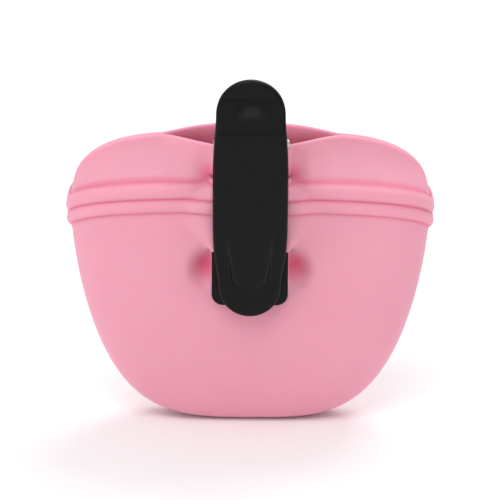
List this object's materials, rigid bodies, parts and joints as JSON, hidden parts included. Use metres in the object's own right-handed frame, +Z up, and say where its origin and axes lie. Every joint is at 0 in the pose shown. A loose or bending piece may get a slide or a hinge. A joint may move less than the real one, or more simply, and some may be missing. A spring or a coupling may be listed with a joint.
{
  "type": "treat pouch",
  "caption": "Silicone treat pouch with a magnetic mouth, raised ribs round the body and a sprung plastic belt clip on its back.",
  "frame": {"origin": "middle of the top edge of a belt that the clip hangs on, under the clip's hinge", "axes": "+Z up, +Y out of the back of the pouch towards the clip, -Y out of its front, X across it"},
  "size_m": [0.1306, 0.0516, 0.1312],
  "materials": {
    "silicone": "satin pink silicone",
    "clip_plastic": "satin black moulded plastic",
    "magnet_nickel": "nickel plate, lightly brushed",
    "steel": "bright drawn steel wire and pin"
  },
  "bodies": {
    "pouch": {"pouch_body": "silicone", "back_magnet": "magnet_nickel", "clip_plate": "clip_plastic", "hinge_pin": "steel", "torsion_spring": "steel"},
    "front_lip": {"front_lip": "silicone", "front_magnet": "magnet_nickel"},
    "lever": {"clip_lever": "clip_plastic"}
  },
  "joints": [
    {"name": "lip_flex", "type": "hinge", "parent": "pouch", "child": "front_lip", "pos_m": [0, -0.0438, -0.044], "axis": [1, 0, 0], "range_deg": [-20, 15], "stiffness_Nm_per_rad": 0.04},
    {"name": "clip_hinge", "type": "hinge", "parent": "pouch", "child": "lever", "pos_m": [0, -0.0018, 0.004], "axis": [1, 0, 0], "range_deg": [0, 14], "stiffness_Nm_per_rad": 0.3, "springref_deg": -40.11, "deforming": ["torsion_spring"]}
  ]
}
